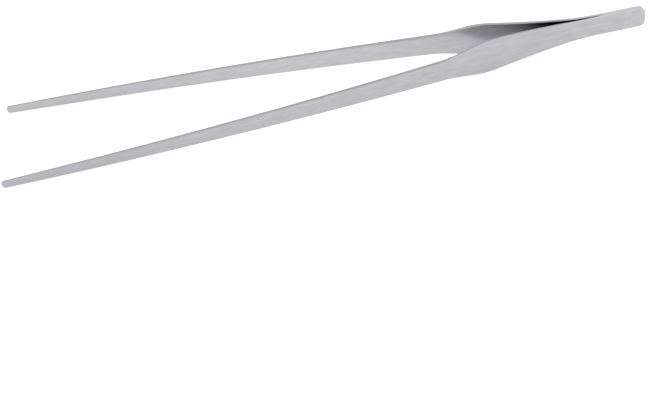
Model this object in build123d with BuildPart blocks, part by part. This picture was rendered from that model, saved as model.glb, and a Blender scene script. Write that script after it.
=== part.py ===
from build123d import *

import os
from math import asin, cos, degrees, radians, sin

# Stamp tongs: two tapered spring-steel arms, spot-welded flat on each other at the butt.
#
# Frame, in millimetres: +X runs from the tips to the butt, +Y from the front arm to the
# rear arm, and +Z up across the width of the strips. The origin is at the middle of the
# length, on the plane between the arms, level with the lower edge of the grips.

# ---- strip stock ----
OVERALL_LENGTH = 150.0
STRIP_THICKNESS = 0.8
TIP_THICKNESS = 0.45  # the legs are rolled thinner towards the tip
EDGE_RADIUS = 0.1  # all edges are tumbled round

# ---- side shape of one arm, from the butt to the tip ----
WELD_LENGTH = 8.0  # the arms lie flat on each other this far
OPENING_RADIUS = 151.0
OPENING_ANGLE = 10.0  # slope away from the middle plane where the fingers press
FLANK_LENGTH = 6.2
KNEE_RADIUS = 190.0
KNEE_ANGLE = 6.9  # slope at the top of the leg
TIP_ANGLE = 2.3  # slope at the end of the leg
PAD_LENGTH = 12.0  # the inner face of the tip is ground flat over this length
PAD_RELIEF = 0.08  # and loses this much at its end

# ---- outline of one arm: distance from the butt, and the width there ----
BUTT_WIDTH = 4.75
NECK_STATION = 15.7
NECK_WIDTH = 4.85
GRIP_STATION = 38.1
GRIP_WIDTH = 8.86  # where the two straight flanks would meet, before the crown is rounded
KNEE_STATION = 47.0
KNEE_WIDTH = 5.3
TIP_WIDTH = 1.9
BUTT_CORNER_RADIUS = 1.3
NECK_RADIUS = 60.0
CROWN_RADIUS = 18.0
KNEE_BLEND_RADIUS = 28.0
TIP_CORNER_RADIUS = 0.7

# ---- the flexure, where each arm bends when the grips are pressed ----
FLEX_LENGTH = 9.5  # from the end of the weld to the axis that the arm turns about
KNUCKLE_CLEARANCE = 0.03

# ---- spot welds ----
NUGGET_DIAMETER = 2.6
NUGGET_THICKNESS = 0.6
NUGGETS = {"butt_weld_nugget": 2.4, "neck_weld_nugget": 6.0}  # distance from the butt

BUTT_X = OVERALL_LENGTH / 2
TIP_X = -OVERALL_LENGTH / 2
PARTING_X = BUTT_X - WELD_LENGTH


def half_outline():
    """One half of the arm's outline, from the butt round to the tip."""
    with BuildLine() as edge:
        FilletPolyline(
            (BUTT_X, 0),
            (BUTT_X, BUTT_WIDTH / 2),
            (BUTT_X - NECK_STATION, NECK_WIDTH / 2),
            (BUTT_X - GRIP_STATION, GRIP_WIDTH / 2),
            (BUTT_X - KNEE_STATION, KNEE_WIDTH / 2),
            (TIP_X, TIP_WIDTH / 2),
            (TIP_X, 0),
            radius=[
                BUTT_CORNER_RADIUS,
                NECK_RADIUS,
                CROWN_RADIUS,
                KNEE_BLEND_RADIUS,
                TIP_CORNER_RADIUS,
            ],
        )
    return edge.line


with BuildSketch() as outline:
    with BuildLine():
        add(half_outline())
        Line((TIP_X, 0), (BUTT_X, 0))
    make_face()
    mirror(about=Plane.XZ)

HALF_WIDTH = outline.sketch.bounding_box().max.Y
FULL_WIDTH = 2 * HALF_WIDTH
OUTLINE_PLANE = Plane(origin=(0, 0, HALF_WIDTH), x_dir=(1, 0, 0), z_dir=(0, -1, 0))


def arm_face(side, depth):
    """Draw an arm's face from the butt to the end of the knee, depth outside the inner face.

    side is +1 for the rear arm and -1 for the front arm. Returns the knee's arc.
    """
    level = side * depth
    seat = Line((BUTT_X, level), (PARTING_X, level))
    opening = JernArc(seat @ 1, (-1, 0), OPENING_RADIUS - depth, -side * OPENING_ANGLE)
    flank = Line(opening @ 1, (opening @ 1) + (opening % 1) * FLANK_LENGTH)
    return JernArc(flank @ 1, flank % 1, KNEE_RADIUS + depth, side * (OPENING_ANGLE - KNEE_ANGLE))


def make_strip(side):
    """One whole arm: a bent strip, cut to the outline, with its edges rounded."""
    with BuildPart() as strip:
        with BuildSketch(Plane.XY) as profile:
            with BuildLine():
                knee = arm_face(side, 0)
                knee_outside = arm_face(side, STRIP_THICKNESS)

                # the leg is one arc that eases from the knee's slope to the tip's
                top = sin(radians(KNEE_ANGLE))
                leg_run = (knee @ 1).X - TIP_X
                leg_radius = leg_run / (top - sin(radians(TIP_ANGLE)))
                leg_drift = leg_radius * (cos(radians(TIP_ANGLE)) - cos(radians(KNEE_ANGLE)))
                tip_inside = side * abs((knee @ 1).Y) + side * leg_drift
                tip_outside = tip_inside + side * TIP_THICKNESS / cos(radians(TIP_ANGLE))

                # the pad's flat starts where the slope of the arc has this value
                pad_slope = degrees(asin(top - (leg_run - PAD_LENGTH) / leg_radius))
                leg = JernArc(knee @ 1, knee % 1, leg_radius, side * (KNEE_ANGLE - pad_slope))
                pad = Line(leg @ 1, (TIP_X, tip_inside + side * PAD_RELIEF))
                Line(pad @ 1, (TIP_X, tip_outside))
                TangentArc(knee_outside @ 1, (TIP_X, tip_outside), tangent=knee_outside % 1)
                Line((BUTT_X, 0), (BUTT_X, side * STRIP_THICKNESS))
            make_face()
        extrude(amount=FULL_WIDTH)
        with BuildSketch(OUTLINE_PLANE):
            add(outline.sketch)
        extrude(amount=OVERALL_LENGTH, both=True, mode=Mode.INTERSECT)

        # every edge but those straight across the thickness, and the smooth joins of the faces
        rims = strip.edges().filter_by(Axis.Y, reverse=True)
        ends = rims.filter_by(Axis.Z).group_by(Axis.X)
        rims = rims.filter_by(Axis.Z, reverse=True) + ends[0] + ends[-1]
        fillet(rims, radius=EDGE_RADIUS)
    return strip.part


def flexure_axis(side):
    """The point, halfway through the strip, that the arm turns about, and its slope there."""
    slope = FLEX_LENGTH / OPENING_RADIUS
    middle_radius = OPENING_RADIUS - STRIP_THICKNESS / 2
    x = PARTING_X - middle_radius * sin(slope)
    y = OPENING_RADIUS - middle_radius * cos(slope)
    return (x, side * y), degrees(slope)


def blade_zone(side, knuckle_radius):
    """Everything in front of the flexure, with a round knuckle behind its axis."""
    (x, y), slope = flexure_axis(side)
    across = Plane(origin=(x, y, 0), x_dir=Vector(-1, 0, 0).rotate(Axis.Z, -side * slope))
    with BuildPart() as zone:
        with BuildSketch(across):
            Rectangle(OVERALL_LENGTH, OVERALL_LENGTH, align=(Align.MIN, Align.CENTER))
            Circle(knuckle_radius)
        extrude(amount=FULL_WIDTH)
    return zone.part


def make_nugget(name, station):
    """A spot weld: a disc of melted steel across the seam, half in each arm."""
    with BuildPart() as nugget:
        with BuildSketch(Plane.XZ.offset(-NUGGET_THICKNESS / 2)):
            with Locations((BUTT_X - station, HALF_WIDTH)):
                Circle(NUGGET_DIAMETER / 2)
        extrude(amount=NUGGET_THICKNESS)
    nugget.part.label = name
    return nugget.part


os.makedirs("parts", exist_ok=True)

nuggets = [make_nugget(name, station) for name, station in NUGGETS.items()]
for nugget_part in nuggets:
    export_step(nugget_part, f"parts/{nugget_part.label}.step")

for name, side in (("front", -1), ("rear", 1)):
    strip_part = make_strip(side)
    knuckle_radius = STRIP_THICKNESS / 2

    # the tang is the welded end, as far as the flexure
    with BuildPart() as tang:
        add(strip_part)
        add(blade_zone(side, knuckle_radius + KNUCKLE_CLEARANCE), mode=Mode.SUBTRACT)
        add(nuggets, mode=Mode.SUBTRACT)
    tang.part.label = f"{name}_tang"
    export_step(tang.part, f"parts/{name}_tang.step")

    # the blade is everything from the flexure to the tip
    with BuildPart() as blade:
        add(strip_part)
        add(blade_zone(side, knuckle_radius), mode=Mode.INTERSECT)
    blade.part.label = f"{name}_blade"
    export_step(blade.part, f"parts/{name}_blade.step")
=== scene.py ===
"""Stamp tongs: two arms of bead-blasted spring strip, spot-welded together at the butt.

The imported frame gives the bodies, the joints and the places. Each arm is made here as one
unbroken strip in place of its tang and blade, and bends where the real strip bends. Lengths are
millimetres until a mesh is written, and Blender's metres after that.
"""

import logging
import math
from dataclasses import dataclass, field
from enum import Enum
from typing import Any

import bmesh
import bpy
from mathutils import Matrix, Vector


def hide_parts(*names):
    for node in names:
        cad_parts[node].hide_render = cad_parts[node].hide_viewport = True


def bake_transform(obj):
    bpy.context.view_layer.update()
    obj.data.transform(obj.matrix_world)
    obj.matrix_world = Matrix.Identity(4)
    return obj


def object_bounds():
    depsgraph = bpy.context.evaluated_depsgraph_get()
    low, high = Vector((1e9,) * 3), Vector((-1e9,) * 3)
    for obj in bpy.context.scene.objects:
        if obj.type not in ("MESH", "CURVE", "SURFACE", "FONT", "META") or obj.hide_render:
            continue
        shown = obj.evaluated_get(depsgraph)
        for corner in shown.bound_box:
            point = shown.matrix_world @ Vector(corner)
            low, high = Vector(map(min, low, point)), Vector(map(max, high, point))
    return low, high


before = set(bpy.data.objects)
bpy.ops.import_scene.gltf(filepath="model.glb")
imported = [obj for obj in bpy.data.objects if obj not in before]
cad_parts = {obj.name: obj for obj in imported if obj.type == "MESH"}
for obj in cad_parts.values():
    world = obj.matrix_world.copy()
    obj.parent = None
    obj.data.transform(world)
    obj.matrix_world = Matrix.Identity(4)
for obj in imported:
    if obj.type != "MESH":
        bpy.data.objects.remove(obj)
CAD_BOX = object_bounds()

LOG = logging.getLogger("stamp_tongs")
MM = 0.001
PLACE = "strip_mm"  # attribute: distance from the butt, height across the strip, depth through it
RIM = "rim"  # attribute: 0 on the flat of a face, 1 on the rounded edge and the wall


# ---------------------------------------------------------------- small helpers


def linear(hex_colour: str) -> tuple[float, float, float, float]:
    """Turn an sRGB hex colour into the linear colour that shaders take.

    Args:
        hex_colour: six hex digits after a hash, such as "#C0C0C4".

    Returns:
        Red, green, blue and an alpha of one.
    """
    channels = (int(hex_colour[i : i + 2], 16) / 255 for i in (1, 3, 5))
    r, g, b = (c / 12.92 if c <= 0.04045 else ((c + 0.055) / 1.055) ** 2.4 for c in channels)
    return r, g, b, 1.0


def add_node(tree: bpy.types.NodeTree, kind: str, **settings: Any) -> bpy.types.Node:
    """Add one node with its settings and links.

    Args:
        tree: the node tree that the node joins.
        kind: the node's type, such as "ShaderNodeTexNoise".
        **settings: the node's own properties by name, and "inputs", a dict from socket name or
            number to a value, or to an output socket that is linked to it.

    Returns:
        The new node.
    """
    node = tree.nodes.new(kind)
    inputs = settings.pop("inputs", {})
    for name, value in settings.items():
        setattr(node, name, value)
    for socket, value in inputs.items():
        if isinstance(value, bpy.types.NodeSocket):
            tree.links.new(value, node.inputs[socket])
        else:
            node.inputs[socket].default_value = value
    return node


def new_material(name: str) -> tuple[bpy.types.Material, bpy.types.NodeTree]:
    """Make an empty node material.

    Args:
        name: the material's name.

    Returns:
        The material and its cleared node tree.
    """
    material = bpy.data.materials.new(name)
    material.use_nodes = True
    material.node_tree.nodes.clear()
    return material, material.node_tree


def add_object(name: str, data: bpy.types.ID) -> bpy.types.Object:
    """Put a mesh, a light or a camera into the scene.

    Args:
        name: the object's name.
        data: what the object shows.

    Returns:
        The new object, at the frame's origin.
    """
    made = bpy.data.objects.new(name, data)
    bpy.context.scene.collection.objects.link(made)
    return made


# ---------------------------------------------------------------- finishes


class Way(Enum):
    """The ways to go through a strip, by the axis of its place attribute."""

    LENGTH = "X"  # from the butt
    DEPTH = "Z"  # from the inner face


class Easing(Enum):
    """How a finish comes in along its fade."""

    SMOOTH = "SMOOTHSTEP"
    EVEN = "LINEAR"


@dataclass(frozen=True)
class Fade:
    """A stretch of the strip over which a finish comes in, from none of it to all of it."""

    way: Way
    none: float
    full: float
    easing: Easing = Easing.SMOOTH


@dataclass(frozen=True)
class Grain:
    """A pattern in the strip's surface, by its real size."""

    pitch: tuple[float, float, float]  # along, across and through the strip
    detail: float = 2.0
    harshness: float = 0.5  # how strongly the finer detail shows


@dataclass(frozen=True)
class BeadBlastedSteel:
    """Stainless spring strip, blasted with fine glass beads and then tumbled.

    To the eye it is an even, soft grey with faint streaks along the strip, which takes its light
    and dark from what stands opposite but shows no reflection that can be read. The outer faces
    are a shade darker than the inner ones, and the legs dull a little towards the tips. The
    sheared edges are darker still, but round the butt, and on the outer corners along the grips,
    they are smoother and painted lighter, a painted highlight. The last stretch of each inner
    face is ground, with fine lines across the strip. In the throat, the narrow end of the gap
    between the arms, the inner faces are smoother and painted darker, a painted shade where the
    arms shade each other.
    """

    face: str = "#BBBBC1"
    face_dull: str = "#B2B2B8"
    tint: str = "#FFFFFA"  # a slow drift towards a warmer grey, left by the tumbling
    # the outer faces a shade darker
    outer_face_darkening: str = "#F8F8F8"
    leg_dull: str = "#F2F2F2"
    edge: str = "#ABABAD"
    # painted highlight: the edges are painted lighter round the butt and along the grips' outer
    # corners
    painted_highlight_edge: str = "#D2D2D4"
    # painted shade: the inner faces are painted darker in the throat, where the arms shade each
    # other
    throat: str = "#87878B"
    ground: str = "#B2B2B5"

    roughness: float = 0.23  # a fine, light bead blast
    roughness_swing: float = 0.05
    edge_roughness: float = 0.34
    burnished_edge_roughness: float = 0.2
    throat_roughness: float = 0.16
    ground_roughness: float = 0.27

    outer_half: Fade = Fade(Way.DEPTH, 0.35, 0.6)
    leg: Fade = Fade(Way.LENGTH, 85.0, 150.0, Easing.EVEN)
    # where the edges are smoother and carry a painted highlight
    burnish_and_highlight_butt: Fade = Fade(Way.LENGTH, 22.0, 18.0)  # both corners of the edge
    burnish_and_highlight_grip: Fade = Fade(Way.LENGTH, 49.0, 45.0)  # its outer corner only
    # the throat, where the inner faces are smoother and carry a painted shade
    throat_start: Fade = Fade(Way.LENGTH, 9.0, 12.0)  # before this the arms lie on each other
    throat_end: Fade = Fade(Way.LENGTH, 31.0, 18.0)
    throat_corner: Fade = Fade(Way.DEPTH, 0.3, 0.1)  # it runs out over the inner corners
    pad: Fade = Fade(Way.LENGTH, 136.8, 139.2)  # the last 12 mm
    pad_depth: float = 0.12  # only the inner face is ground

    # beads of 0.1 mm leave finer dimples; these are coarse enough to show
    dimples: Grain = Grain((0.22, 0.22, 0.22), detail=3.0, harshness=0.6)
    # the rolled strip's lengthwise lines, faint under the blast, and coarse enough to show
    streaks: Grain = Grain((5.0, 1.0, 1.0), detail=3.0, harshness=0.7)
    streak_span: tuple[float, float] = (0.34, 0.66)  # of the pattern, from dull to full
    # the tumbling leaves its tint in patches about two grips wide
    drift: Grain = Grain((16.0, 16.0, 16.0), detail=1.0)
    # lines across the strip, about as wide as the grains of a 120 grit belt
    grinding: Grain = Grain((0.14, 2.5, 1.0))
    relief_height: float = 0.004  # dimples and lines are a few micrometres deep
    relief_strength: float = 0.5

    def make(self) -> bpy.types.Material:
        """Build the material.

        Returns:
            A material that reads the strip's own millimetres, so it stays put on a bent arm.
        """
        material, tree = new_material("bead_blasted_stainless_steel")
        place = add_node(tree, "ShaderNodeAttribute", attribute_name=PLACE).outputs["Vector"]
        masks = self.masks(tree, place)
        grains = self.grains(tree, place)

        # relief: dimples everywhere but on the ground pad, which has its lines
        relief = add_node(
            tree,
            "ShaderNodeMix",
            inputs={"Factor": masks["ground"], "A": grains["dimples"], "B": grains["grinding"]},
        )
        bump = add_node(
            tree,
            "ShaderNodeBump",
            inputs={
                "Strength": self.relief_strength,
                "Distance": self.relief_height * MM,
                "Height": relief.outputs["Result"],
            },
        )
        colour, roughness = self.surface(tree, masks, grains)
        shader = add_node(
            tree,
            "ShaderNodeBsdfPrincipled",
            inputs={
                "Base Color": colour,
                "Metallic": 1.0,
                "Roughness": roughness,
                "Normal": bump.outputs["Normal"],
            },
        )
        add_node(tree, "ShaderNodeOutputMaterial", inputs={"Surface": shader.outputs[0]})
        return material

    def masks(
        self, tree: bpy.types.NodeTree, place: bpy.types.NodeSocket
    ) -> dict[str, bpy.types.NodeSocket]:
        """Work out where each finish shows, as factors from 0 to 1.

        Args:
            tree: the material's node tree.
            place: the strip's own millimetres.

        Returns:
            The factors by name: the fades, and what is worked out from them.
        """
        parts = add_node(tree, "ShaderNodeSeparateXYZ", inputs={0: place})
        masks = {
            name: add_node(
                tree,
                "ShaderNodeMapRange",
                interpolation_type=fade.easing.value,
                inputs={
                    "Value": parts.outputs[fade.way.value],
                    "From Min": fade.none,
                    "From Max": fade.full,
                },
            ).outputs["Result"]
            for name, fade in vars(self).items()
            if isinstance(fade, Fade)
        }
        masks["rim"] = add_node(tree, "ShaderNodeAttribute", attribute_name=RIM).outputs["Fac"]
        masks["inner_face"] = add_node(
            tree,
            "ShaderNodeMath",
            operation="LESS_THAN",
            inputs={0: parts.outputs[Way.DEPTH.value], 1: self.pad_depth},
        ).outputs[0]
        for name, operation, first, second in (
            ("burnish_and_highlight_corner", "MULTIPLY", "burnish_and_highlight_grip", "outer_half"),
            ("burnish_and_highlight", "MAXIMUM", "burnish_and_highlight_butt", "burnish_and_highlight_corner"),
            ("throat_run", "MULTIPLY", "throat_start", "throat_end"),
            ("throat", "MULTIPLY", "throat_run", "throat_corner"),
            ("ground", "MULTIPLY", "pad", "inner_face"),
        ):
            masks[name] = add_node(
                tree,
                "ShaderNodeMath",
                operation=operation,
                inputs={0: masks[first], 1: masks[second]},
            ).outputs[0]
        return masks

    def grains(
        self, tree: bpy.types.NodeTree, place: bpy.types.NodeSocket
    ) -> dict[str, bpy.types.NodeSocket]:
        """Draw the patterns.

        Args:
            tree: the material's node tree.
            place: the strip's own millimetres.

        Returns:
            The height of each pattern by name, from 0 to 1.
        """
        grains = {}
        for name, grain in vars(self).items():
            if isinstance(grain, Grain):
                stretched = add_node(
                    tree,
                    "ShaderNodeMapping",
                    inputs={"Vector": place, "Scale": [1 / pitch for pitch in grain.pitch]},
                )
                grains[name] = add_node(
                    tree,
                    "ShaderNodeTexNoise",
                    inputs={
                        "Vector": stretched.outputs[0],
                        "Scale": 1.0,
                        "Detail": grain.detail,
                        "Roughness": grain.harshness,
                    },
                ).outputs["Fac"]
        return grains

    def surface(
        self,
        tree: bpy.types.NodeTree,
        masks: dict[str, bpy.types.NodeSocket],
        grains: dict[str, bpy.types.NodeSocket],
    ) -> tuple[bpy.types.NodeSocket, bpy.types.NodeSocket]:
        """Lay the finishes over each other.

        Args:
            tree: the material's node tree.
            masks: where each finish shows.
            grains: the patterns.

        Returns:
            The colour and the roughness.
        """
        # the blasted face, dull to full by the streaks, and rougher where a dimple stands up
        streaked = add_node(
            tree,
            "ShaderNodeMapRange",
            inputs={
                "Value": grains["streaks"],
                "From Min": self.streak_span[0],
                "From Max": self.streak_span[1],
            },
        )
        colour = add_node(
            tree,
            "ShaderNodeMix",
            data_type="RGBA",
            inputs={
                "Factor": streaked.outputs["Result"],
                "A": linear(self.face_dull),
                "B": linear(self.face),
            },
        ).outputs["Result"]
        for factor, shade in (
            (grains["drift"], self.tint),
            (masks["outer_half"], self.outer_face_darkening),
            (masks["leg"], self.leg_dull),
        ):
            colour = add_node(
                tree,
                "ShaderNodeMix",
                data_type="RGBA",
                blend_type="MULTIPLY",
                inputs={"Factor": factor, "A": colour, "B": linear(shade)},
            ).outputs["Result"]
        roughness = add_node(
            tree,
            "ShaderNodeMapRange",
            inputs={
                "Value": grains["dimples"],
                "To Min": self.roughness - self.roughness_swing,
                "To Max": self.roughness + self.roughness_swing,
            },
        ).outputs["Result"]

        # the edge: darker, but smoother and painted lighter round the butt and the grips' outer
        # corners, a painted highlight
        edge_colour = add_node(
            tree,
            "ShaderNodeMix",
            data_type="RGBA",
            inputs={
                "Factor": masks["burnish_and_highlight"],
                "A": linear(self.edge),
                "B": linear(self.painted_highlight_edge),
            },
        ).outputs["Result"]
        edge_roughness = add_node(
            tree,
            "ShaderNodeMix",
            inputs={
                "Factor": masks["burnish_and_highlight"],
                "A": self.edge_roughness,
                "B": self.burnished_edge_roughness,
            },
        ).outputs["Result"]

        for factor, over_colour, over_roughness in (
            (masks["rim"], edge_colour, edge_roughness),
            # painted shade in the throat
            (masks["throat"], linear(self.throat), self.throat_roughness),
            (masks["ground"], linear(self.ground), self.ground_roughness),
        ):
            colour = add_node(
                tree,
                "ShaderNodeMix",
                data_type="RGBA",
                inputs={"Factor": factor, "A": colour, "B": over_colour},
            ).outputs["Result"]
            roughness = add_node(
                tree,
                "ShaderNodeMix",
                inputs={"Factor": factor, "A": roughness, "B": over_roughness},
            ).outputs["Result"]
        return colour, roughness


@dataclass(frozen=True)
class FusedSteel:
    """The cast metal inside a spot weld: a darker grey, frozen in coarse ripples."""

    metal: str = "#A3A09C"
    oxide: str = "#7D776F"
    roughness: float = 0.58
    ripple: float = 0.35  # a weld pool this small freezes in ripples tenths of a millimetre wide
    ripple_detail: float = 3.0
    ripple_swirl: float = 0.8
    ripple_height: float = 0.02
    ripple_strength: float = 0.6

    def make(self) -> bpy.types.Material:
        """Build the material.

        Returns:
            A material in object coordinates, for the CAD nodes of the welds.
        """
        material, tree = new_material("fused_stainless_steel")
        place = add_node(tree, "ShaderNodeTexCoord")
        ripples = add_node(
            tree,
            "ShaderNodeTexNoise",
            inputs={
                "Vector": place.outputs["Object"],
                "Scale": 1 / (self.ripple * MM),
                "Detail": self.ripple_detail,
                "Distortion": self.ripple_swirl,
            },
        )
        colour = add_node(
            tree,
            "ShaderNodeMix",
            data_type="RGBA",
            inputs={
                "Factor": ripples.outputs["Fac"],
                "A": linear(self.oxide),
                "B": linear(self.metal),
            },
        )
        bump = add_node(
            tree,
            "ShaderNodeBump",
            inputs={
                "Strength": self.ripple_strength,
                "Distance": self.ripple_height * MM,
                "Height": ripples.outputs["Fac"],
            },
        )
        shader = add_node(
            tree,
            "ShaderNodeBsdfPrincipled",
            inputs={
                "Base Color": colour.outputs["Result"],
                "Metallic": 1.0,
                "Roughness": self.roughness,
                "Normal": bump.outputs["Normal"],
            },
        )
        add_node(tree, "ShaderNodeOutputMaterial", inputs={"Surface": shader.outputs[0]})
        return material


@dataclass(frozen=True)
class LightTablePaper:
    """White paper on a light table: matt, and lit from below, with no grain to see from here."""

    white: str = "#C8C8C8"  # the glow makes up the rest of its white
    fibre_white: str = "#C6C6C6"
    glow_white: str = "#FFFFFF"
    glow: float = 0.67
    roughness: float = 0.9
    fibre: float = 1.5  # wood fibres are 1 to 2 mm long

    def make(self) -> bpy.types.Material:
        """Build the material.

        Returns:
            A matt white material that glows.
        """
        material, tree = new_material("seamless_white_paper")
        place = add_node(tree, "ShaderNodeTexCoord")
        fibres = add_node(
            tree,
            "ShaderNodeTexNoise",
            inputs={"Vector": place.outputs["Object"], "Scale": 1 / (self.fibre * MM)},
        )
        colour = add_node(
            tree,
            "ShaderNodeMix",
            data_type="RGBA",
            inputs={
                "Factor": fibres.outputs["Fac"],
                "A": linear(self.white),
                "B": linear(self.fibre_white),
            },
        )
        shader = add_node(
            tree,
            "ShaderNodeBsdfPrincipled",
            inputs={
                "Base Color": colour.outputs["Result"],
                "Roughness": self.roughness,
                "Specular IOR Level": 0.0,
                "Emission Color": linear(self.glow_white),
                "Emission Strength": self.glow,
            },
        )
        add_node(tree, "ShaderNodeOutputMaterial", inputs={"Surface": shader.outputs[0]})
        return material


# ---------------------------------------------------------------- the arms


class Side(Enum):
    """The two arms, by which side of the middle plane they stand on."""

    FRONT = -1
    REAR = 1


class Face(Enum):
    """The two faces of a strip."""

    INSIDE = 0
    OUTSIDE = 1


@dataclass(frozen=True)
class Stretch:
    """One stretch of a bent face seen from above, straight or an arc, running to -X.

    Its slope is away from the middle plane, in radians, and its curvature is how fast that slope
    grows.
    """

    x: float
    y: float
    slope: float
    curvature: float = 0.0

    def at(self, x: float) -> "Stretch":
        """Follow the stretch to another x.

        Args:
            x: how far along, in the frame's x.

        Returns:
            The same stretch, started again at that x.
        """
        run = self.x - x
        if self.curvature == 0.0:
            return Stretch(x, self.y + run * math.tan(self.slope), self.slope)
        slope = math.asin(math.sin(self.slope) + self.curvature * run)
        rise = (math.cos(self.slope) - math.cos(slope)) / self.curvature
        return Stretch(x, self.y + rise, slope, self.curvature)

    def after_turn(self, slope: float) -> "Stretch":
        """Follow the arc until it has turned to a slope."""
        return self.at(self.x - (math.sin(slope) - math.sin(self.slope)) / self.curvature)

    def bent(self, curvature: float) -> "Stretch":
        """Start a new stretch here, with the same slope and another curvature."""
        return Stretch(self.x, self.y, self.slope, curvature)


@dataclass(frozen=True)
class RimPoint:
    """A point on the arm's outline, seen from the side, and the outline's heading in radians.

    The outline runs from the butt to the tip along the upper edge, with the strip on its left.
    """

    x: float
    across: float
    heading: float

    def inset(self, depth: float) -> tuple[float, float]:
        """Move into the strip, square to the outline."""
        right, up = -math.sin(self.heading), math.cos(self.heading)
        return self.x + depth * right, self.across + depth * up

    def mirrored(self) -> "RimPoint":
        """Give the matching point of the lower edge, where the outline runs back."""
        return RimPoint(self.x, -self.across, math.pi - self.heading)


@dataclass(frozen=True)
class Corner:
    """A corner of the arm's outline, on both edges, and the radius that rounds it."""

    station: float  # from the butt
    width: float
    radius: float


@dataclass(frozen=True)
class ArmShape:
    """The sizes of one arm, the same as the CAD's, and the lines that they give.

    The angles are degrees away from the middle plane.
    """

    butt_x: float
    tip_x: float
    thickness: float = 0.8
    tip_thickness: float = 0.45
    edge_radius: float = 0.1

    # seen from above
    weld_length: float = 8.0
    opening_radius: float = 151.0
    opening_angle: float = 10.0
    flank_length: float = 6.2
    knee_radius: float = 190.0
    knee_angle: float = 6.9
    tip_angle: float = 2.3
    pad_length: float = 12.0
    pad_relief: float = 0.08

    # seen from the side
    butt: Corner = Corner(0.0, 4.75, 1.3)
    neck: Corner = Corner(15.7, 4.85, 60.0)
    crown: Corner = Corner(38.1, 8.86, 18.0)
    knee: Corner = Corner(47.0, 5.3, 28.0)
    tip: Corner = Corner(150.0, 1.9, 0.7)

    station_pitch: float = 0.8  # the longest step along the outline
    corner_steps: int = 10  # the fewest steps round a corner

    def stretches(self, face: Face) -> list[Stretch]:
        """Lay out one face from the butt to the tip.

        Args:
            face: the inner or the outer face.

        Returns:
            The stretches in order, each with its first point.
        """
        depth = self.thickness if face is Face.OUTSIDE else 0.0
        open_slope = math.radians(self.opening_angle)
        knee_slope = math.radians(self.knee_angle)
        tip_slope = math.radians(self.tip_angle)

        seat = Stretch(self.butt_x, depth, 0.0)
        opening = seat.at(self.butt_x - self.weld_length).bent(1 / (self.opening_radius - depth))
        flank = opening.after_turn(open_slope).bent(0.0)
        knee = flank.at(flank.x - self.flank_length * math.cos(open_slope))
        knee = knee.bent(-1 / (self.knee_radius + depth))
        top = knee.after_turn(knee_slope)
        run = top.x - self.tip_x
        if face is Face.INSIDE:
            leg = top.bent((math.sin(tip_slope) - math.sin(knee_slope)) / run)
            pad = leg.at(self.tip_x + self.pad_length)
            rise = leg.at(self.tip_x).y + self.pad_relief - pad.y
            pad = Stretch(pad.x, pad.y, math.atan2(rise, self.pad_length))
            return [seat, opening, flank, knee, leg, pad]

        # the leg is rolled thinner, so its outer face is a flatter arc that ends at the tip
        inner_leg = self.stretches(Face.INSIDE)[-2]
        rise = inner_leg.at(self.tip_x).y + self.tip_thickness / math.cos(tip_slope) - top.y
        turn = math.atan2(rise, run) - knee_slope
        return [seat, opening, flank, knee, top.bent(2 * math.sin(turn) / math.hypot(run, rise))]

    def rim(self) -> list[RimPoint]:
        """Walk the upper edge of the outline, from the butt's flat end to the tip's.

        Returns:
            Points close enough together for the strip's bends, with even arcs at the corners.
        """
        corners = (self.butt, self.neck, self.crown, self.knee, self.tip)
        path = [(self.butt_x, 0.0)]
        path += [(self.butt_x - corner.station, corner.width / 2) for corner in corners]
        path += [(self.tip_x, 0.0)]
        headings = [math.atan2(b[1] - a[1], b[0] - a[0]) for a, b in zip(path, path[1:])]
        points: list[RimPoint] = []
        for (x, across), before, after, corner in zip(path[1:], headings, headings[1:], corners):
            turn = (after - before + math.pi) % math.tau - math.pi
            reach = corner.radius * math.tan(abs(turn) / 2)
            start = (x - reach * math.cos(before), across - reach * math.sin(before))
            if points:
                points += self.straight(points[-1], start)
            hand = math.copysign(corner.radius, turn)
            steps = max(
                self.corner_steps, math.ceil(corner.radius * abs(turn) / self.station_pitch)
            )
            for k in range(steps + 1):
                heading = before + turn * k / steps
                points.append(
                    RimPoint(
                        start[0] + hand * (math.sin(heading) - math.sin(before)),
                        start[1] - hand * (math.cos(heading) - math.cos(before)),
                        heading,
                    )
                )
        return points

    def straight(self, last: RimPoint, end: tuple[float, float]) -> list[RimPoint]:
        """Walk a straight side of the outline.

        Args:
            last: the point that the side starts from.
            end: where the side ends.

        Returns:
            Points between those two, without them.
        """
        run, rise = end[0] - last.x, end[1] - last.across
        steps = math.ceil(math.hypot(run, rise) / self.station_pitch)
        return [
            RimPoint(last.x + run * k / steps, last.across + rise * k / steps, last.heading)
            for k in range(1, steps)
        ]


class FaceLine:
    """One face's line, seen from above, as a height over the middle plane at any x."""

    def __init__(self, shape: ArmShape, face: Face) -> None:
        """Lay the line out.

        Args:
            shape: the arm's sizes.
            face: the face to follow.
        """
        self.stretches = shape.stretches(face)

    def height(self, x: float) -> float:
        """Give the face's distance from the middle plane.

        Args:
            x: how far along, in the frame's x.

        Returns:
            The distance, which is never negative.
        """
        here = self.stretches[0]
        for stretch in self.stretches[1:]:
            if x < stretch.x:
                here = stretch
        return here.at(x).y


@dataclass(frozen=True)
class EdgeStep:
    """One step round the strip's rounded edge."""

    face: Face
    inset: float  # from the outline
    depth: float  # under the face
    rim: float  # 0 on the flat of the face, 1 on the wall


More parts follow.
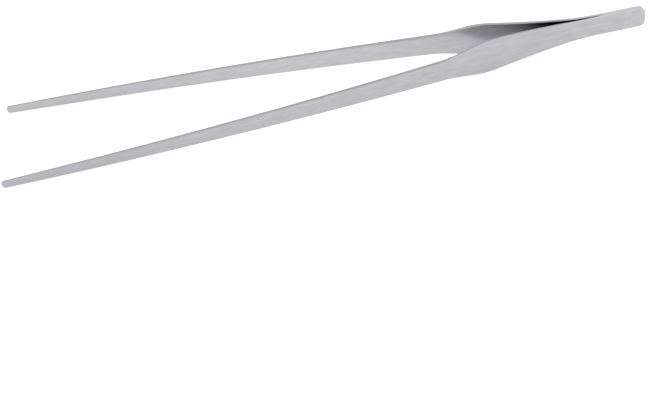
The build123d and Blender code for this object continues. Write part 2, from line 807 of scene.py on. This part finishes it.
class StripMesh:
    """The strip's mesh while it is made: vertices that know their place, and quads."""

    def __init__(self, shape: ArmShape, side: Side, middle_z: float) -> None:
        """Start with nothing.

        Args:
            shape: the arm's sizes.
            side: which arm it is.
            middle_z: the height of the strip's middle line.
        """
        self.butt_x = shape.butt_x
        self.lines = {face: FaceLine(shape, face) for face in Face}
        self.side = side
        self.middle_z = middle_z
        self.data = bmesh.new()
        self.place = self.data.verts.layers.float_vector.new(PLACE)
        self.rim = self.data.verts.layers.float.new(RIM)

    def vertex(self, point: tuple[float, float], step: EdgeStep) -> bmesh.types.BMVert:
        """Add a vertex.

        Args:
            point: where it is, seen from the side: x, and height across the strip.
            step: the face that it lies under, how deep, and how much of an edge it is.

        Returns:
            The new vertex.
        """
        x, across = point
        inner, outer = self.lines[Face.INSIDE].height(x), self.lines[Face.OUTSIDE].height(x)
        y = inner + step.depth if step.face is Face.INSIDE else outer - step.depth
        made = self.data.verts.new(Vector((x, self.side.value * y, self.middle_z + across)) * MM)
        made[self.place] = (self.butt_x - x, across, y - inner)
        made[self.rim] = step.rim
        return made

    def band(
        self, row: list[bmesh.types.BMVert], following: list[bmesh.types.BMVert], first: int
    ) -> None:
        """Join two rows of vertices with quads.

        Args:
            row: one row.
            following: the next row, as long as the first.
            first: 0 where the rows close into rings, 1 where they have ends.
        """
        for k in range(first, len(row)):
            self.data.faces.new((row[k - 1], row[k], following[k], following[k - 1]))

    def finish(self, name: str) -> bpy.types.Mesh:
        """Turn it into a smooth mesh with its normals outwards.

        Args:
            name: the mesh's name.

        Returns:
            The finished mesh.
        """
        bmesh.ops.recalc_face_normals(self.data, faces=self.data.faces)
        for face in self.data.faces:
            face.smooth = True
        mesh = bpy.data.meshes.new(name)
        self.data.to_mesh(mesh)
        self.data.free()
        return mesh


@dataclass
class Arm:
    """One arm as an unbroken strip: flat faces, rounded edges, and a ground pad at the tip."""

    side: Side
    body: str
    nodes: tuple[str, ...]
    shape: ArmShape
    middle_z: float
    support: float = 0.12  # a column this far inside the rounded edge keeps the face flat
    column_spread: tuple[float, ...] = (1.0, 0.5, 0.0, -0.5, -1.0)  # over the flat's half width
    edge_steps: int = 5
    flat_angle: float = math.radians(1.0)  # faces that meet at less than this are one
    strip: bpy.types.Object | None = field(default=None, init=False)

    def columns(self, half_width: float) -> list[float]:
        """Place the columns of a row across the flat of a face, from the top down.

        Args:
            half_width: from the middle to the start of the rounded edge.

        Returns:
            Heights across the strip, without the two ends.
        """
        flat = half_width - self.support
        return [flat * share for share in self.column_spread]

    def sections(self) -> list[EdgeStep]:
        """Step round the edge from the inner face to the outer.

        Returns:
            The steps in order.
        """
        radius = self.shape.edge_radius
        quarter = [math.pi / 2 * k / self.edge_steps for k in range(self.edge_steps + 1)]
        curve = [
            (radius * (1 - math.sin(a)), radius * (1 - math.cos(a)), 1 - math.cos(a))
            for a in quarter
        ]
        inner = [EdgeStep(Face.INSIDE, *step) for step in curve]
        outer = [EdgeStep(Face.OUTSIDE, *step) for step in reversed(curve)]
        return inner + outer

    def loop(self, upper: list[RimPoint]) -> list[RimPoint]:
        """Close the outline: upper edge, tip, lower edge and butt.

        Args:
            upper: the upper edge, from the butt to the tip.

        Returns:
            Every rim point once, in order.
        """
        lower = [p.mirrored() for p in reversed(upper)]
        tip = [RimPoint(upper[-1].x, a, upper[-1].heading) for a in self.columns(upper[-1].across)]
        butt = [RimPoint(lower[-1].x, -a, upper[0].heading) for a in self.columns(upper[0].across)]
        return upper + tip + lower + butt

    def build(self) -> bpy.types.Object:
        """Make the strip's mesh and object.

        Returns:
            The strip, in the frame's metres, with its place and rim attributes.
        """
        mesh = StripMesh(self.shape, self.side, self.middle_z)
        upper = self.shape.rim()
        loop = self.loop(upper)
        sections = self.sections()
        rings = [[mesh.vertex(p.inset(step.inset), step) for p in loop] for step in sections]
        for ring, following in zip(rings, rings[1:]):
            mesh.band(ring, following, first=0)
        self.fill(mesh, upper, rings[0], Face.INSIDE)
        self.fill(mesh, upper, rings[-1], Face.OUTSIDE)
        self.strip = add_object(f"{self.body}_strip", mesh.finish(f"{self.body}_strip"))
        return self.strip

    def fill(
        self, mesh: StripMesh, upper: list[RimPoint], ring: list[bmesh.types.BMVert], face: Face
    ) -> None:
        """Fill the flat of a face with rows across the strip.

        Args:
            mesh: the strip's mesh.
            upper: the upper edge, from the butt to the tip.
            ring: the vertices round the flat, in the loop's order.
            face: the face to fill.
        """
        flat = EdgeStep(face, inset=self.shape.edge_radius, depth=0.0, rim=0.0)
        length, count = len(upper), len(self.column_spread)
        tops, tip = ring[:length], ring[length : length + count]
        bottoms, butt = ring[length + count : -count], ring[-count:]

        rows = [[tops[0], *reversed(butt), bottoms[-1]]]
        for point, top, bottom in zip(upper[1:-1], tops[1:-1], bottoms[-2:0:-1]):
            x, half_width = point.inset(flat.inset)
            inside = [mesh.vertex((x, across), flat) for across in self.columns(half_width)]
            rows.append([top, *inside, bottom])
        rows.append([tops[-1], *tip, bottoms[0]])
        for row, following in zip(rows, rows[1:]):
            mesh.band(row, following, first=1)

    def let_in(self, names: tuple[str, ...]) -> None:
        """Hollow the inner face where the welds' metal crosses the seam.

        Args:
            names: the CAD nodes of the welds.
        """
        cutters = [self.cutter(name) for name in names]
        for cutter in cutters:
            pocket = self.strip.modifiers.new(cutter.name, "BOOLEAN")
            pocket.operation = "DIFFERENCE"
            pocket.solver = "EXACT"
            pocket.object = cutter
        solid = self.strip.data
        cut = self.strip.evaluated_get(bpy.context.evaluated_depsgraph_get())
        self.strip.data = bpy.data.meshes.new_from_object(cut)
        self.strip.modifiers.clear()
        bpy.data.meshes.remove(solid)
        for cutter in cutters:
            bpy.data.meshes.remove(cutter.data)

    def cutter(self, name: str) -> bpy.types.Object:
        """Copy a weld with its flat faces whole, so that the cut leaves no slivers.

        Args:
            name: the weld's CAD node.

        Returns:
            A new object, which goes when its mesh is removed from the file.
        """
        mesh_data = bmesh.new()
        mesh_data.from_mesh(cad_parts[name].data)
        bmesh.ops.dissolve_limit(
            mesh_data,
            angle_limit=self.flat_angle,
            verts=mesh_data.verts,
            edges=mesh_data.edges,
        )
        mesh = bpy.data.meshes.new(f"{name}_cutter")
        mesh_data.to_mesh(mesh)
        mesh_data.free()
        return add_object(f"{name}_cutter", mesh)

    def dress(self, material: bpy.types.Material) -> None:
        """Give the strip its finish."""
        self.strip.data.materials.append(material)

    def mount(self) -> None:
        """Stand the strip in for its CAD nodes, which are hidden."""
        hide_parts(*self.nodes)
        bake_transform(self.strip)


@dataclass
class Welds:
    """The spot welds between the arms, which stay the CAD's own nodes."""

    nodes: tuple[str, ...]

    def dress(self, material: bpy.types.Material) -> None:
        """Give the welds their finish.

        Args:
            material: the fused metal.
        """
        for name in self.nodes:
            for material_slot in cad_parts[name].material_slots:
                material_slot.material = material


# ---------------------------------------------------------------- the studio


@dataclass
class Camera:
    """Where the camera stands and what it aims at, round the middle of the tongs.

    The angles are degrees.
    """

    middle: Vector  # metres
    azimuth: float = -1.74
    elevation: float = 44.57
    roll: float = -10.50
    distance: float = 261.2
    lens: float = 62.33
    middle_offset: float = -0.34  # along the tongs, to the point that the distance is taken from
    aim_right: float = 0.85
    aim_down: float = 27.81  # it aims below the tongs, which fill the upper part of the picture
    nearest: float = 0.005  # metres
    farthest: float = 50.0  # metres

    def build(self) -> bpy.types.Object:
        """Make the scene's camera.

        Returns:
            The camera object.
        """
        azimuth, elevation, roll = (
            math.radians(a) for a in (self.azimuth, self.elevation, self.roll)
        )
        back = Vector(
            (
                math.sin(azimuth) * math.cos(elevation),
                -math.cos(azimuth) * math.cos(elevation),
                math.sin(elevation),
            )
        )
        level = Vector((math.cos(azimuth), math.sin(azimuth), 0.0))
        steep = back.cross(level)
        right = level * math.cos(roll) + steep * math.sin(roll)
        up = steep * math.cos(roll) - level * math.sin(roll)

        aim = self.middle + Vector((self.middle_offset * MM, 0, 0))
        aim += (right * self.aim_right - up * self.aim_down) * MM
        data = bpy.data.cameras.new("camera")
        data.lens = self.lens
        data.clip_start = self.nearest
        data.clip_end = self.farthest
        camera = add_object("camera", data)
        camera.matrix_world = Matrix.Translation(aim + back * self.distance * MM) @ (
            Matrix((right, up, back)).transposed().to_4x4()
        )
        bpy.context.scene.camera = camera
        return camera


@dataclass
class Studio:
    """A floor of glowing paper under an even white sky, with one weak soft light overhead."""

    crown_foot: Vector  # metres: where the grips touch the floor
    tip_foot: Vector  # metres: where the tips touch the floor
    floor_size: float = 6.0  # metres
    floor_segments: int = 8
    sky: str = "#FFFFFF"
    sky_strength: float = 0.9
    softbox_size: float = 0.8  # metres
    softbox_height: float = 0.7  # metres
    softbox_power: float = 0.7  # watts

    def build_floor(self, material: bpy.types.Material) -> bpy.types.Object:
        """Lay the floor under the grips and the tips, which the tongs stand on.

        Args:
            material: the paper.

        Returns:
            The floor, leaning a little because the grips are wider than the tips.
        """
        drop = self.tip_foot.z - self.crown_foot.z
        lean = math.atan2(drop, self.crown_foot.x - self.tip_foot.x)
        mesh_data = bmesh.new()
        bmesh.ops.create_grid(
            mesh_data,
            x_segments=self.floor_segments,
            y_segments=self.floor_segments,
            size=self.floor_size / 2,
        )
        mesh = bpy.data.meshes.new("floor")
        mesh_data.to_mesh(mesh)
        mesh_data.free()
        mesh.materials.append(material)
        floor = add_object("floor", mesh)
        floor.matrix_world = Matrix.Translation(self.crown_foot) @ Matrix.Rotation(lean, 4, "Y")
        return floor

    def build_sky(self) -> None:
        """Light everything evenly from all round."""
        world = bpy.data.worlds.new("studio")
        world.use_nodes = True
        world.node_tree.nodes.clear()
        sky = add_node(
            world.node_tree,
            "ShaderNodeBackground",
            inputs={"Color": linear(self.sky), "Strength": self.sky_strength},
        )
        add_node(world.node_tree, "ShaderNodeOutputWorld", inputs={"Surface": sky.outputs[0]})
        bpy.context.scene.world = world

    def build_softbox(self) -> bpy.types.Object:
        """Hang a square softbox over the tongs, facing down.

        Returns:
            The light.
        """
        data = bpy.data.lights.new("softbox", "AREA")
        data.size = self.softbox_size
        data.energy = self.softbox_power
        softbox = add_object("softbox", data)
        softbox.location = (0, 0, self.softbox_height)
        return softbox


def main() -> None:
    """Build the arms, the welds and the studio."""
    logging.basicConfig(level=logging.INFO, format="%(name)s: %(message)s")
    low, high = CAD_BOX
    middle = (low + high) / 2
    shape = ArmShape(butt_x=high.x / MM, tip_x=low.x / MM)
    steel = BeadBlastedSteel().make()
    welds = Welds(tuple(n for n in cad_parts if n.endswith("weld_nugget")))

    for side in Side:
        name = side.name.lower()
        arm = Arm(side, f"{name}_arm", (f"{name}_tang", f"{name}_blade"), shape, middle.z / MM)
        strip = arm.build()
        arm.let_in(welds.nodes)
        arm.dress(steel)
        arm.mount()
        LOG.info("%s: %d vertices, in place of %s", strip.name, len(strip.data.vertices), arm.nodes)

    welds.dress(FusedSteel().make())
    LOG.info("welds: %s", ", ".join(welds.nodes))

    crown_foot = Vector(((shape.butt_x - shape.crown.station) * MM, 0, low.z))
    tip_foot = Vector((low.x, 0, middle.z - shape.tip.width / 2 * MM))
    studio = Studio(crown_foot, tip_foot)
    studio.build_floor(LightTablePaper().make())
    studio.build_sky()
    studio.build_softbox()
    Camera(middle).build()
    bpy.context.scene.view_settings.view_transform = "Standard"  # the paper stays white
    LOG.info("studio: floor, sky, softbox and camera")


if __name__ == "__main__":
    main()
